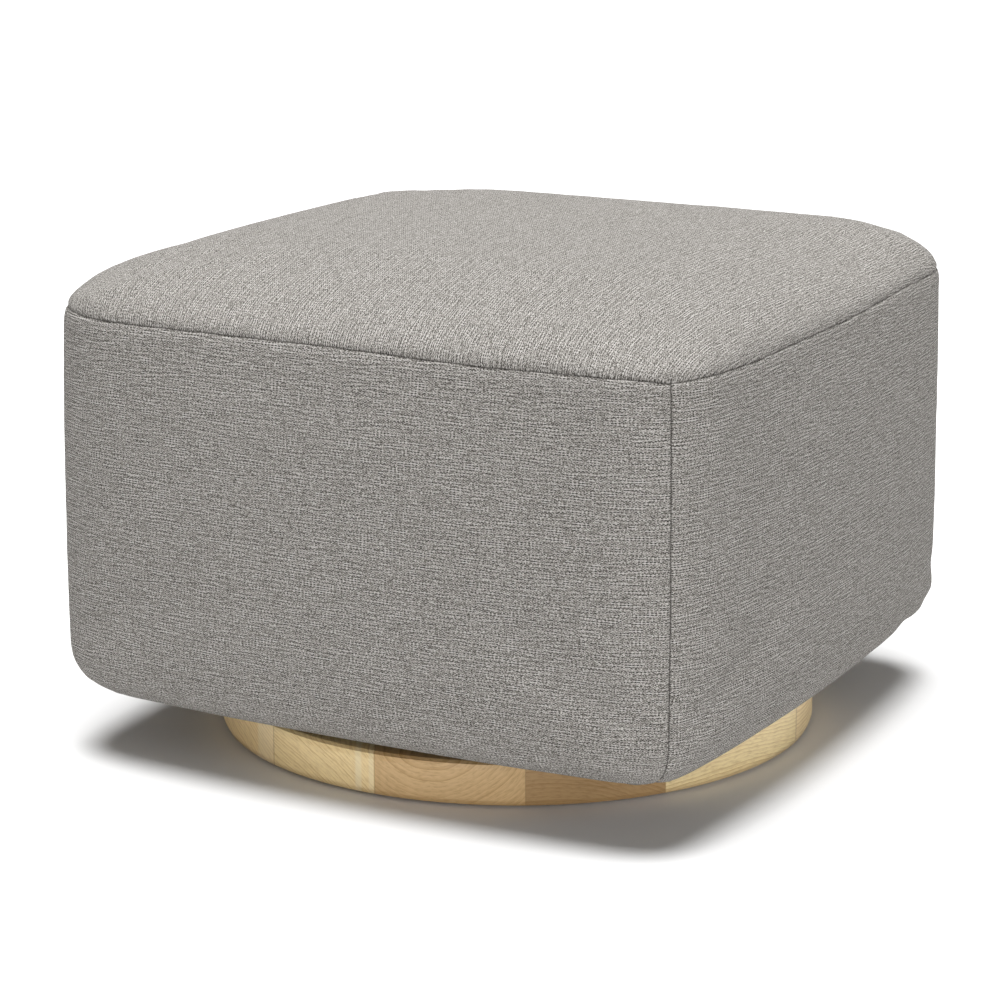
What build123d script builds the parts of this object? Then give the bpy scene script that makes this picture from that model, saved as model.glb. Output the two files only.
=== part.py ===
"""Glider ottoman: a padded, fabric-covered box that swings on four links above a turned wooden disc.

Millimetres, +Z up. The origin is on the floor under the middle of the body. The front faces -Y, and the
body glides along Y. Left is -X and right is +X, as seen from the front.
"""
from math import asin, cos, degrees, radians, sin, sqrt, tan
import os

from build123d import *

os.makedirs("parts", exist_ok=True)

# ---- Upholstered body ----
overall_height = 406        # floor to the middle of the crown
body_width = 578            # across the middles of two opposite sides, at the widest level
underside_height = 44.5     # floor to the cover's underside
side_lean = 1.6             # degrees that each side leans in towards the top
side_bulge = 14             # how far the middle of a side stands out from its corners
corner_radius = 67          # upright corners, seen from above
bottom_roll = 42            # rounding where a side turns under
top_roll = 40               # rounding where a side turns over to the top
roll_height = 392           # level where the top roll would end in a flat top
crown_radius = 1900         # radius of the domed top
bottom_steps = 2            # bands in the rounding at the bottom
top_steps = 3               # bands in the rounding at the top
seam_height = 351           # level of the seam round the top panel
cover_thickness = 2
dust_cover_thickness = 1
soft_gap = 0.3              # room between a cover, its padding and the wood

# ---- Wooden frame inside the body ----
side_padding = 42           # foam between the cover and the boards, at the widest level
board_thickness = 18
deck_height = 300           # floor to the underside of the deck
deck_thickness = 12
corner_block_leg = 46
corner_block_drop = 20      # deck underside to the top of a corner block
corner_block_lift = 6       # top of a runner to the foot of a corner block
runner_width = 42
runner_height = 40

# ---- Turned base ----
disc_diameter = 485
disc_thickness = 34.5
disc_edge_radius = 5
disc_edge_steps = 2         # bands in the rounding of the disc's edges
pad_size = 28
pad_thickness = 1.5
pad_pitch = 280

# ---- Steel glide ----
steel = 3                   # gauge of every pressed piece but the links
bend_radius = 4             # outside radius of a bend
link_length = 86            # upper pivot to lower pivot
lower_pivot_height = 62     # floor to the lower pivots
pivot_spacing = 180         # front pivots to rear pivots
glide_angle = 25            # degrees that a link swings each way
plate_width = 262
plate_length = 248
plate_corner = 14           # corner cut
plate_pocket_gap = 0.5      # room round the plate in its pocket in the disc
upright_spread = 236        # between the inner faces of the two webs
upright_length = 224
upright_foot = 28
upright_lip = 14            # width of the turned-in end of an upright
upright_shoulder = 112      # floor to where the web starts to taper
upright_margin = 17         # metal over the upper pivots
upright_dip = 14            # drop of the top edge between its two towers
window_width = 52
window_height = 56
window_cut = 12             # corner cut of the windows in the uprights and the plate
window_pitch = 82
link_gauge = 4
link_waist = 19
bushing_width = 7
bushing_flats = 19          # the bushings are hexagonal, so that they can't turn in a link
bushing_wall = 4            # steel round a bushing, in the eight-sided eye of a link
pin_radius = 6.5
pin_collar_flats = 17
pin_collar_length = 5.5
pin_head_flats = 19
pin_head = 4
running_clearance = 0.05
open_pivot_clearance = 0.25
side_play = 0.5             # between a bushing and what stands beside it
rail_clearance = 2.5        # dust cover to the lower edge of a seat rail
rail_height = 22            # lower pivot up to the top of a seat rail
rail_flange = 45
rail_length = 372
rail_scallop = 12           # depth of the long scallop in a rail's lower edge
rail_scallop_length = 110
brace_depth = 26
brace_flange = 24
bumper_length = 10
bumper_size = 15
bumper_taper = 8            # degrees
bumper_gap = 0.4            # bumper to upright at the end of the glide
dust_slot_margin = 6        # room round an upright in the dust cover
hem_corner = 28             # corner cut of the dust cover and of the opening in the hems

# ---- Hexagon-head screws, in the base and under the runners ----
screw_flats = 8             # the shank, eight-sided like its hole, so that the many screws stay light
screw_fit = 0.1             # room round a shank in its hole
screw_head_flats = 13
screw_head = 5
base_screw_length = 30      # under the head
base_screw_x = 130          # spacing of the base screws across
base_screw_y = 190          # and front to back
rail_screw_length = 35
rail_screw_pitch = 250

# ---- Worked out from the sizes above ----
widest_height = underside_height + bottom_roll
side_radius = ((body_width / 2 - side_bulge)**2 + side_bulge**2) / (2 * side_bulge)
side_centre = body_width / 2 - side_radius
corner_reach = side_radius - corner_radius
corner_across = (side_centre + sqrt(2 * corner_reach**2 - side_centre**2)) / 2
corner_start = degrees(asin(corner_across / corner_reach))
corner_sweep = 90 - 2 * corner_start
board_bottom = underside_height + cover_thickness + soft_gap
frame_half = body_width / 2 - cover_thickness - side_padding
frame_inside = frame_half - board_thickness
deck_top = deck_height + deck_thickness
hem_edge = frame_half - board_thickness * 0.75
disc_top = pad_thickness + disc_thickness
upper_pivot_height = lower_pivot_height + link_length
pivot_y = pivot_spacing / 2
web_inside = upright_spread / 2
web_outside = web_inside + steel
bushing_inside = web_outside + pin_collar_length + side_play
bushing_outside = bushing_inside + bushing_width
link_middle = (bushing_inside + bushing_outside) / 2
eye_flats = bushing_flats + 2 * bushing_wall
rail_inside = bushing_outside + 2 * side_play
rail_outside = rail_inside + steel
rail_bottom = underside_height + rail_clearance
rail_top = lower_pivot_height + rail_height
runner_middle = rail_outside + rail_flange / 2
runner_top = rail_top + runner_height
glide_travel = link_length * sin(radians(glide_angle))
bumper_tip = upright_length / 2 + glide_travel + bumper_gap
brace_face = bumper_tip + bumper_length
bumper_x = web_outside - (steel + upright_lip) / 2
bumper_height = lower_pivot_height + rail_height / 3
beyond = body_width         # reach of a cutting shape that has to clear the body
corners = ((-1, -1), (1, -1), (1, 1), (-1, 1))
sides = {"left": -1, "right": 1}
ends = {"front": -1, "rear": 1}
side_turns = {"front": 0, "right": 90, "rear": 180, "left": 270}


def save(piece, name):
    """Label a finished piece and write it to its own file."""
    piece.part.label = name
    export_step(piece.part, f"parts/{name}.step")


def across(x, y, z, facing):
    """A plane square to the X axis at a point, facing +X or -X."""
    return Plane(origin=(x, y, z), x_dir=(0, 1, 0), z_dir=(facing, 0, 0))


def hexagon_radius(flats):
    """Centre to corner of a hexagon of this size across its flats."""
    return flats / 2 / cos(radians(30))


def octagon(flats):
    """An eight-sided outline of this size across its flats."""
    with BuildSketch() as outline:
        RegularPolygon(flats / 2, 8, major_radius=False, rotation=22.5)
    return outline.sketch


# ---- Forms that the padding and the covers share ----
def roll_bands(inset):
    """Levels up the body, each with how far its outline is drawn in from the widest one."""
    low_radius = bottom_roll - inset
    high_radius = top_roll - inset
    bands = []
    for step in range(bottom_steps + 1):
        angle = radians(90 * step / bottom_steps)
        level = underside_height + inset + low_radius * (1 - cos(angle))
        bands.append((level, inset + low_radius * (1 - sin(angle))))
    shoulder = roll_height - top_roll
    drawn_in = inset + (shoulder - widest_height) * tan(radians(side_lean))
    for step in range(top_steps + 1):
        angle = radians(90 * step / top_steps)
        bands.append((shoulder + high_radius * sin(angle), drawn_in + high_radius * (1 - cos(angle))))
    return bands


def body_outline(level, drawn_in):
    """The body's outline from above, with bulged sides and round corners, at one level."""
    with BuildSketch(Plane.XY.offset(level)) as outline:
        with BuildLine():
            for turn in side_turns.values():
                side = Vector(side_centre, 0).rotate(Axis.Z, turn)
                corner = Vector(corner_across, corner_across).rotate(Axis.Z, turn)
                CenterArc(side, side_radius - drawn_in, turn - corner_start, 2 * corner_start)
                CenterArc(corner, corner_radius - drawn_in, turn + corner_start, corner_sweep)
        make_face()
    return outline.sketch


def padded_form(inset):
    """The outside of the body, drawn in by inset all round and cut to the domed crown."""
    bands = roll_bands(inset)
    outlines = [body_outline(level, drawn_in) for level, drawn_in in bands]
    with BuildPart() as form:
        for outline in outlines:
            add(outline)
        loft(ruled=True)
        add(outlines[-1])
        extrude(amount=overall_height - bands[-1][0])
        with Locations((0, 0, overall_height - crown_radius)):
            Sphere(crown_radius - inset, rotation=(90, 0, 0), mode=Mode.INTERSECT)
    return form.part


def side_wedge(turn):
    """The quarter of space on one side of the body, between the two diagonals."""
    with BuildPart() as wedge:
        with BuildSketch(Plane.XY.rotated((0, 0, turn))):
            with BuildLine():
                Polyline((0, 0), (beyond, -beyond), (-beyond, -beyond), close=True)
            make_face()
        extrude(amount=overall_height)
    return wedge.part


screw_shank = octagon(screw_flats)
screw_hole = octagon(screw_flats + 2 * screw_fit)
cover_form = padded_form(0)
lining_form = padded_form(cover_thickness)
foam_form = padded_form(cover_thickness + soft_gap)

# ---- Turned wooden disc, with a pocket for the glide's plate ----
edge_turns = [radians(90 * step / disc_edge_steps) for step in range(disc_edge_steps + 1)]
edge_middle = disc_diameter / 2 - disc_edge_radius
lower_edge = [
    (edge_middle + disc_edge_radius * sin(turn), pad_thickness + disc_edge_radius * (1 - cos(turn)))
    for turn in edge_turns
]
upper_edge = [
    (edge_middle + disc_edge_radius * cos(turn), disc_top - disc_edge_radius * (1 - sin(turn)))
    for turn in edge_turns
]
with BuildPart() as base_disc:
    with BuildSketch(Plane.XZ):
        with BuildLine():
            Polyline((0, pad_thickness), *lower_edge, *upper_edge, (0, disc_top), close=True)
        make_face()
    revolve(axis=Axis.Z)
    with BuildSketch(Plane.XY.offset(disc_top - steel)) as pocket:
        Rectangle(plate_width + 2 * plate_pocket_gap, plate_length + 2 * plate_pocket_gap)
        chamfer(pocket.vertices(), plate_corner)
    extrude(amount=steel, mode=Mode.SUBTRACT)
    with BuildSketch(Plane.XY.offset(disc_top)):
        with GridLocations(base_screw_x, base_screw_y, 2, 2):
            add(screw_hole)
    extrude(amount=-base_screw_length - soft_gap, mode=Mode.SUBTRACT)
save(base_disc, "base_disc")

# ---- Felt pads under the disc ----
with BuildPart() as floor_pads:
    with BuildSketch():
        with GridLocations(pad_pitch, pad_pitch, 2, 2):
            Rectangle(pad_size, pad_size)
    extrude(amount=pad_thickness)
save(floor_pads, "floor_pads")


# ---- Plate that the glide stands on, let into the disc ----
def cut_window(width, height):
    """A rectangle with its corners cut, for a window in pressed steel."""
    with BuildSketch() as window:
        Rectangle(width, height)
        chamfer(window.vertices(), window_cut)
    return window.sketch


window = cut_window(window_width, window_height)
with BuildPart() as glide_plate:
    with BuildSketch(Plane.XY.offset(disc_top - steel)) as outline:
        Rectangle(plate_width, plate_length)
        chamfer(outline.vertices(), plate_corner)
        with GridLocations(base_screw_x, base_screw_y, 2, 2):
            add(screw_hole, mode=Mode.SUBTRACT)
        with GridLocations(window_pitch, window_pitch, 2, 2):
            add(window, mode=Mode.SUBTRACT)
    extrude(amount=steel)
save(glide_plate, "glide_plate")

# ---- Screws that hold the plate down ----
with BuildPart() as base_screws:
    with BuildSketch(Plane.XY.offset(disc_top)):
        with GridLocations(base_screw_x, base_screw_y, 2, 2):
            RegularPolygon(hexagon_radius(screw_head_flats), 6)
    extrude(amount=screw_head)
    with BuildSketch(Plane.XY.offset(disc_top)):
        with GridLocations(base_screw_x, base_screw_y, 2, 2):
            add(screw_shank)
    extrude(amount=-base_screw_length)
save(base_screws, "base_screws")


# ---- Uprights welded to the plate: a web with two towers, a foot and two turned-in ends ----
def upright(facing):
    """One upright, on the left (-1) or the right (1)."""
    tower_top = upper_pivot_height + upright_margin
    half = upright_length / 2
    tower_edge = pivot_y + upright_margin
    tower_inner = pivot_y - upright_margin
    lip_top = upright_shoulder - bend_radius
    with BuildPart() as piece:
        with BuildSketch(Plane.YZ.offset(web_inside)) as web:
            with BuildLine():
                Polyline(
                    (-tower_inner, tower_top), (-tower_edge, tower_top), (-half, upright_shoulder),
                    (-half, disc_top), (half, disc_top), (half, upright_shoulder),
                    (tower_edge, tower_top), (tower_inner, tower_top),
                )
                ThreePointArc((-tower_inner, tower_top), (0, tower_top - upright_dip), (tower_inner, tower_top))
            make_face()
            fillet(web.vertices().group_by(Axis.Y)[-1].sort_by(Axis.X)[0], upright_margin / 2)
            fillet(web.vertices().group_by(Axis.Y)[-1].sort_by(Axis.X)[-1], upright_margin / 2)
            with Locations((0, (disc_top + upright_shoulder) / 2)):
                with GridLocations(window_pitch, 0, 2, 1):
                    add(window, mode=Mode.SUBTRACT)
        extrude(amount=steel)
        with BuildSketch(Plane.XY.offset(disc_top)):
            with Locations((web_outside - (steel + upright_foot) / 2, 0)):
                Rectangle(steel + upright_foot, upright_length)
        extrude(amount=steel)
        with BuildSketch(Plane.XY.offset(disc_top)):
            with Locations((web_outside - (steel + upright_lip) / 2, 0)):
                with GridLocations(0, upright_length - steel, 1, 2):
                    Rectangle(steel + upright_lip, steel)
        extrude(amount=lip_top - disc_top)
        foot_bend = piece.edges().filter_by(Axis.Y).filter_by_position(Axis.Z, disc_top, disc_top)
        fillet(foot_bend.sort_by(Axis.X)[-1], bend_radius)
        if facing < 0:
            mirror(about=Plane.YZ, mode=Mode.REPLACE)
    return piece


for side, facing in sides.items():
    save(upright(facing), f"{side}_upright")


# ---- Swing links, each with two nylon bushings pressed into its eyes ----
def swing_link(facing, end):
    """One link: flat steel with a waist between two eight-sided eyes."""
    middle = across(facing * link_middle, end * pivot_y, lower_pivot_height + link_length / 2, facing)
    with BuildPart() as piece:
        with BuildSketch(middle):
            with GridLocations(0, link_length, 1, 2):
                RegularPolygon(eye_flats / 2, 8, major_radius=False, rotation=22.5)
            Rectangle(link_waist, link_length)
            with GridLocations(0, link_length, 1, 2):
                RegularPolygon(bushing_flats / 2, 6, major_radius=False, mode=Mode.SUBTRACT)
        extrude(amount=link_gauge / 2, both=True)
    return piece


def link_bushings(facing, end):
    """The two bushings of a link, each running on a pivot pin."""
    with BuildPart() as piece:
        for height in (upper_pivot_height, lower_pivot_height):
            with BuildSketch(across(facing * bushing_inside, end * pivot_y, height, facing)):
                RegularPolygon(bushing_flats / 2, 6, major_radius=False)
                Circle(pin_radius + running_clearance, mode=Mode.SUBTRACT)
            extrude(amount=bushing_width)
    return piece


for end_name, end in ends.items():
    for side, facing in sides.items():
        save(swing_link(facing, end), f"{end_name}_{side}_link")
        save(link_bushings(facing, end), f"{end_name}_{side}_bushings")

# ---- Upper pivot pins: each with a collar welded to an upright, and a head that keeps the link on ----
upper_head_face = bushing_outside + side_play
with BuildPart() as upper_pivot_pins:
    for facing in (-1, 1):
        for end in (-1, 1):
            with BuildSketch(across(facing * web_outside, end * pivot_y, upper_pivot_height, facing)):
                RegularPolygon(pin_collar_flats / 2, 6, major_radius=False)
            extrude(amount=pin_collar_length)
            with BuildSketch(across(facing * web_outside, end * pivot_y, upper_pivot_height, facing)):
                Circle(pin_radius)
            extrude(amount=upper_head_face - web_outside)
            with BuildSketch(across(facing * upper_head_face, end * pivot_y, upper_pivot_height, facing)):
                RegularPolygon(pin_head_flats / 2, 6, major_radius=False)
            extrude(amount=pin_head)
save(upper_pivot_pins, "upper_pivot_pins")

# ---- Lower pivot pins, welded to the seat rails ----
# The front left pin is the hinge of the body, and the other three pins are the open pivots.
lower_head_face = bushing_inside - side_play
with BuildPart() as lower_pivot_pins:
    for facing in (-1, 1):
        for end in (-1, 1):
            hinge = facing < 0 and end < 0
            waist = 0 if hinge else open_pivot_clearance - running_clearance
            with BuildSketch(across(facing * lower_head_face, end * pivot_y, lower_pivot_height, facing)):
                Circle(pin_radius - waist)
            extrude(amount=rail_inside - lower_head_face)
            with BuildSketch(across(facing * lower_head_face, end * pivot_y, lower_pivot_height, facing)):
                RegularPolygon(pin_head_flats / 2, 6, major_radius=False)
            extrude(amount=-pin_head)
save(lower_pivot_pins, "lower_pivot_pins")


# ---- Seat rails: steel angles that carry the body on the lower pivots ----
def seat_rail(facing):
    """One rail: an upright web with a scalloped lower edge, and a flange under the wooden runner."""
    half = rail_length / 2
    scallop = rail_bottom + rail_scallop
    toe = (rail_top + rail_bottom) / 2
    toe_start = half - 2 * rail_scallop
    scallop_start = rail_scallop_length / 2
    scallop_end = scallop_start + rail_scallop
    with BuildPart() as piece:
        with BuildSketch(Plane.YZ.offset(rail_inside)):
            with BuildLine():
                Polyline(
                    (-half, rail_top), (-half, toe), (-toe_start, rail_bottom), (-scallop_end, rail_bottom),
                    (-scallop_start, scallop), (scallop_start, scallop), (scallop_end, rail_bottom),
                    (toe_start, rail_bottom), (half, toe), (half, rail_top), close=True,
                )
            make_face()
        extrude(amount=steel)
        with BuildSketch(Plane.XY.offset(rail_top)):
            with Locations((rail_inside + (steel + rail_flange) / 2, 0)):
                Rectangle(steel + rail_flange, rail_length)
        extrude(amount=-steel)
        top_bend = piece.edges().filter_by(Axis.Y).filter_by_position(Axis.Z, rail_top, rail_top)
        fillet(top_bend.sort_by(Axis.X)[0], bend_radius)
        chamfer(piece.edges().filter_by(Axis.Z).group_by(Axis.X)[-1], window_cut)
        with BuildSketch(Plane.XY.offset(rail_top)):
            with Locations((runner_middle, 0)):
                with GridLocations(0, rail_screw_pitch, 1, 2):
                    add(screw_hole)
        extrude(amount=-steel, mode=Mode.SUBTRACT)
        if facing < 0:
            mirror(about=Plane.YZ, mode=Mode.REPLACE)
    return piece


for side, facing in sides.items():
    save(seat_rail(facing), f"{side}_seat_rail")


# ---- Cross braces welded between the rails, with rubber stops that meet the uprights ----
def cross_brace(end):
    """One brace: a steel angle between the two rails, at the front (-1) or the rear (1)."""
    brace_back = brace_face + brace_flange
    with BuildPart() as piece:
        with BuildSketch(Plane.YZ.offset(-rail_inside)) as profile:
            with BuildLine():
                Polyline(
                    (brace_face, rail_top - brace_depth), (brace_face, rail_top), (brace_back, rail_top),
                    (brace_back, rail_top - steel), (brace_face + steel, rail_top - steel),
                    (brace_face + steel, rail_top - brace_depth), close=True,
                )
            make_face()
            fillet(profile.vertices().group_by(Axis.Y)[-1].sort_by(Axis.X)[0], bend_radius)
        extrude(amount=2 * rail_inside)
        if end < 0:
            mirror(about=Plane.XZ, mode=Mode.REPLACE)
    return piece


for end_name, end in ends.items():
    save(cross_brace(end), f"{end_name}_cross_brace")

with BuildPart() as stop_bumpers:
    for end in (-1, 1):
        with BuildSketch(Plane((0, end * brace_face, bumper_height), x_dir=(1, 0, 0), z_dir=(0, -end, 0))):
            with GridLocations(2 * bumper_x, 0, 2, 1):
                Rectangle(bumper_size, bumper_size)
        extrude(amount=bumper_length, taper=bumper_taper)
save(stop_bumpers, "stop_bumpers")

# ---- Wooden frame: four boards, corner blocks, two runners and the deck ----
board_lengths = {
    "front": 2 * frame_half,
    "rear": 2 * frame_half,
    "left": 2 * frame_inside,
    "right": 2 * frame_inside,
}
for name, length in board_lengths.items():
    with BuildPart() as board:
        with BuildSketch(Plane.XY.offset(board_bottom).rotated((0, 0, side_turns[name]))):
            with Locations((0, -frame_half + board_thickness / 2)):
                Rectangle(length, board_thickness)
        extrude(amount=deck_height - board_bottom)
        add(foam_form, mode=Mode.INTERSECT)
    save(board, f"{name}_board")

with BuildPart() as corner_blocks:
    with BuildSketch(Plane.XY.offset(runner_top + corner_block_lift)):
        for x, y in corners:
            with BuildLine():
                Polyline(
                    (x * frame_inside, y * frame_inside),
                    (x * (frame_inside - corner_block_leg), y * frame_inside),
                    (x * frame_inside, y * (frame_inside - corner_block_leg)), close=True,
                )
            make_face()
    extrude(amount=deck_height - corner_block_drop - runner_top - corner_block_lift)
save(corner_blocks, "corner_blocks")


def runner(facing):
    """One runner between the front and rear boards, drilled for its screws."""
    with BuildPart() as piece:
        with BuildSketch(Plane.XY.offset(rail_top)):
            with Locations((facing * runner_middle, 0)):
                Rectangle(runner_width, 2 * frame_inside)
        extrude(amount=runner_height)
        with BuildSketch(Plane.XY.offset(rail_top)):
            with Locations((facing * runner_middle, 0)):
                with GridLocations(0, rail_screw_pitch, 1, 2):
                    add(screw_hole)
        extrude(amount=rail_screw_length, mode=Mode.SUBTRACT)
    return piece


for side, facing in sides.items():
    save(runner(facing), f"{side}_runner")

with BuildPart() as deck:
    with BuildSketch(Plane.XY.offset(deck_height)):
        Rectangle(2 * frame_half, 2 * frame_half)
    extrude(amount=deck_thickness)
save(deck, "deck")

# ---- Screws that hold the rails up under the runners ----
with BuildPart() as rail_screws:
    with BuildSketch(Plane.XY.offset(rail_top - steel)):
        with GridLocations(2 * runner_middle, rail_screw_pitch, 2, 2):
            RegularPolygon(hexagon_radius(screw_head_flats), 6)
    extrude(amount=-screw_head)
    with BuildSketch(Plane.XY.offset(rail_top - steel)):
        with GridLocations(2 * runner_middle, rail_screw_pitch, 2, 2):
            add(screw_shank)
    extrude(amount=rail_screw_length)
save(rail_screws, "rail_screws")

# ---- Padding ----
with BuildPart() as top_foam:
    add(foam_form)
    split(bisect_by=Plane.XY.offset(deck_top), keep=Keep.TOP)
save(top_foam, "top_foam")

for name, turn in side_turns.items():
    with BuildPart() as side_foam:
        add(foam_form)
        split(bisect_by=Plane.XY.offset(deck_top), keep=Keep.BOTTOM)
        with BuildSketch():
            Rectangle(2 * frame_half, 2 * frame_half)
        extrude(amount=deck_top, mode=Mode.SUBTRACT)
        add(side_wedge(turn), mode=Mode.INTERSECT)
    save(side_foam, f"{name}_foam")

# ---- Covers: a top panel sewn to four side panels that turn under to the boards ----
with BuildPart() as top_cover:
    add(cover_form)
    add(lining_form, mode=Mode.SUBTRACT)
    split(bisect_by=Plane.XY.offset(seam_height), keep=Keep.TOP)
save(top_cover, "top_cover")

for name, turn in side_turns.items():
    with BuildPart() as side_cover:
        add(cover_form)
        add(lining_form, mode=Mode.SUBTRACT)
        split(bisect_by=Plane.XY.offset(seam_height), keep=Keep.BOTTOM)
        with BuildSketch() as opening:
            Rectangle(2 * hem_edge, 2 * hem_edge)
            chamfer(opening.vertices(), hem_corner)
        extrude(amount=board_bottom, mode=Mode.SUBTRACT)
        add(side_wedge(turn), mode=Mode.INTERSECT)
    save(side_cover, f"{name}_cover")

# ---- Dust cover, stapled over the hems, with a slot round each upright ----
slot_inside = web_inside - upright_lip - dust_slot_margin
slot_outside = web_outside + dust_slot_margin
slot_length = upright_length + 2 * (glide_travel + dust_slot_margin)
dust_cover_half = (frame_half + hem_edge) / 2
with BuildPart() as dust_cover:
    with BuildSketch(Plane.XY.offset(underside_height)) as sheet:
        Rectangle(2 * dust_cover_half, 2 * dust_cover_half)
        chamfer(sheet.vertices(), hem_corner)
        with GridLocations(slot_inside + slot_outside, 0, 2, 1):
            Rectangle(slot_outside - slot_inside, slot_length, mode=Mode.SUBTRACT)
    extrude(amount=-dust_cover_thickness)
save(dust_cover, "dust_cover")
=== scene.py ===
from math import atan2, cos, hypot, pi, radians, sin

import bmesh
import bpy
import numpy as np
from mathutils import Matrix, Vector, noise


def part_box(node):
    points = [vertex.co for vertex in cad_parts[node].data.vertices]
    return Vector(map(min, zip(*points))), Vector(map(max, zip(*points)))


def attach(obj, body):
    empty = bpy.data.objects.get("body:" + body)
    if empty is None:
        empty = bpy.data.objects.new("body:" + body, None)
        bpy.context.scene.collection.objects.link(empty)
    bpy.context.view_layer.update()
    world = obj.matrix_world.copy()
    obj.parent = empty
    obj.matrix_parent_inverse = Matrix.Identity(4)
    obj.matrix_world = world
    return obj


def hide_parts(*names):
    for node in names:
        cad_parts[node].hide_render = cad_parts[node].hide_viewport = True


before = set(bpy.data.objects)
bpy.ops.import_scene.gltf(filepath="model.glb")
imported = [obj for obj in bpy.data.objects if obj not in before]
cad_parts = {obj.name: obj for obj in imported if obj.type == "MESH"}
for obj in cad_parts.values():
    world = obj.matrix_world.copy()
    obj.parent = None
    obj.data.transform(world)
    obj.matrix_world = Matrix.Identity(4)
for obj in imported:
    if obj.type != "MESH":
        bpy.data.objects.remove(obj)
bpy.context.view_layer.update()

# ---- Wooden base disc ----
# The base is glued up from light hardwood staves, then turned to a disc with rounded edges and lacquered.
# It stands on the floor, and its staves run nearly towards the camera, so the near rim shows their ends.


def put(tree, kind, inputs=None, **settings):
    """A new node in a tree, with its settings made and each input set or linked."""
    made = tree.nodes.new(kind)
    for name, value in settings.items():
        setattr(made, name, value)
    for name, value in (inputs or {}).items():
        if isinstance(value, bpy.types.NodeSocket):
            tree.links.new(value, made.inputs[name])
        else:
            made.inputs[name].default_value = value
    return made


def sum_up(tree, operation, *values, clamp=False):
    """The result of a Math node on one to three numbers or sockets."""
    made = put(tree, "ShaderNodeMath", dict(enumerate(values)), operation=operation, use_clamp=clamp)
    return made.outputs[0]


def ranged(tree, value, *, start, end, low=0, high=1):
    """A value's stretch from start to end, spread from low to high and held there outside it."""
    inputs = {"Value": value, "From Min": start, "From Max": end, "To Min": low, "To Max": high}
    return put(tree, "ShaderNodeMapRange", inputs).outputs[0]


def ramp(tree, factor, *stops):
    """The colour of a ramp with these (position, colour) stops at a factor."""
    made = put(tree, "ShaderNodeValToRGB", {"Fac": factor})
    elements = made.color_ramp.elements
    while len(elements) < len(stops):
        elements.new(0.5)
    for element, (position, colour) in zip(elements, stops):
        element.position = position
        element.color = (*colour, 1)
    return made.outputs["Color"]


def blended(tree, factor, first, second):
    """The colour of one socket, going over to a second socket or fixed colour by a factor."""
    made = put(tree, "ShaderNodeMix", {"Factor": factor, "A": first}, data_type="RGBA")
    if isinstance(second, bpy.types.NodeSocket):
        tree.links.new(second, made.inputs["B"])
    else:
        made.inputs["B"].default_value = (*second, 1)
    return made.outputs["Result"]


def new_group(name, kind, inputs, outputs):
    """A node group with these sockets, as (tree, its input node, its output node)."""
    tree = bpy.data.node_groups.new(name, kind)
    for way, sockets in (("INPUT", inputs), ("OUTPUT", outputs)):
        for label, socket_kind in sockets.items():
            tree.interface.new_socket(label, in_out=way, socket_type=f"NodeSocket{socket_kind}")
    return tree, put(tree, "NodeGroupInput"), put(tree, "NodeGroupOutput")


def new_material(name, roughness):
    """A material with this roughness, as (material, tree, its Principled shader)."""
    material = bpy.data.materials.new(name)
    material.use_nodes = True
    tree = material.node_tree
    shader = tree.nodes["Principled BSDF"]
    shader.inputs["Roughness"].default_value = roughness
    return material, tree, shader


def object_place(tree):
    """The shaded point's place in its object's own coordinates."""
    return put(tree, "ShaderNodeTexCoord").outputs["Object"]


def mottled(name, roughness, scale, detail, dark, light):
    """A material whose colour varies finely between two stops, as (material, tree, shader, its noise)."""
    material, tree, shader = new_material(name, roughness)
    mottle = put(tree, "ShaderNodeTexNoise", {"Vector": object_place(tree), "Scale": scale, "Detail": detail})
    tree.links.new(ramp(tree, mottle.outputs["Fac"], dark, light), shader.inputs["Base Color"])
    return material, tree, shader, mottle.outputs["Fac"]


def dress(material, *nodes):
    """Give a material to CAD nodes."""
    for name in nodes:
        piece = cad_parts[name]
        piece.data.materials.clear()
        piece.data.materials.append(material)


# Growth rings of one piece of wood: masks of late wood and pores, at a place measured from the tree's heart.
ring_stray = 0.012          # how far the rings wander from true circles
grain_lean = 0.035          # how far the heart drifts off along the grain
late_power = 2.2            # a higher one leaves a thinner dark line at the end of each year
pore_scale = (0.16, 0.05)   # pores are drawn out round the heart and along the grain
rings, rings_in, rings_out = new_group(
    "growth_rings", "ShaderNodeTree", {"Place": "Vector", "Spacing": "Float"},
    {"Late wood": "Float", "Pores": "Float"})
ring_place = rings_in.outputs["Place"]
wander = put(rings, "ShaderNodeTexNoise", {"Vector": ring_place, "Scale": 12, "Detail": 3, "Roughness": 0.45})
drift = put(rings, "ShaderNodeVectorMath", {0: wander.outputs["Color"], 1: (0.5, 0.5, 0.5)},
            operation="SUBTRACT")
drift = put(rings, "ShaderNodeVectorMath", {0: drift.outputs[0], "Scale": ring_stray}, operation="SCALE")
bent = put(rings, "ShaderNodeVectorMath", {0: ring_place, 1: drift.outputs[0]}).outputs[0]
leaning = put(rings, "ShaderNodeVectorMath", {0: bent, 1: (1, grain_lean, 1)}, operation="MULTIPLY")
from_heart = put(rings, "ShaderNodeVectorMath", {0: leaning.outputs[0]}, operation="LENGTH").outputs["Value"]
years = sum_up(rings, "DIVIDE", from_heart, rings_in.outputs["Spacing"])
year_tone = put(rings, "ShaderNodeTexWhiteNoise", {"W": sum_up(rings, "FLOOR", years)}, noise_dimensions="1D")
year_tone = sum_up(rings, "MULTIPLY_ADD", year_tone.outputs["Value"], 0.75, 0.15)
late_wood = sum_up(rings, "POWER", sum_up(rings, "FRACT", years), late_power)
late_wood = sum_up(rings, "MULTIPLY", late_wood, year_tone)
rings.links.new(late_wood, rings_out.inputs["Late wood"])
spot = put(rings, "ShaderNodeSeparateXYZ", {0: bent})
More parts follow.
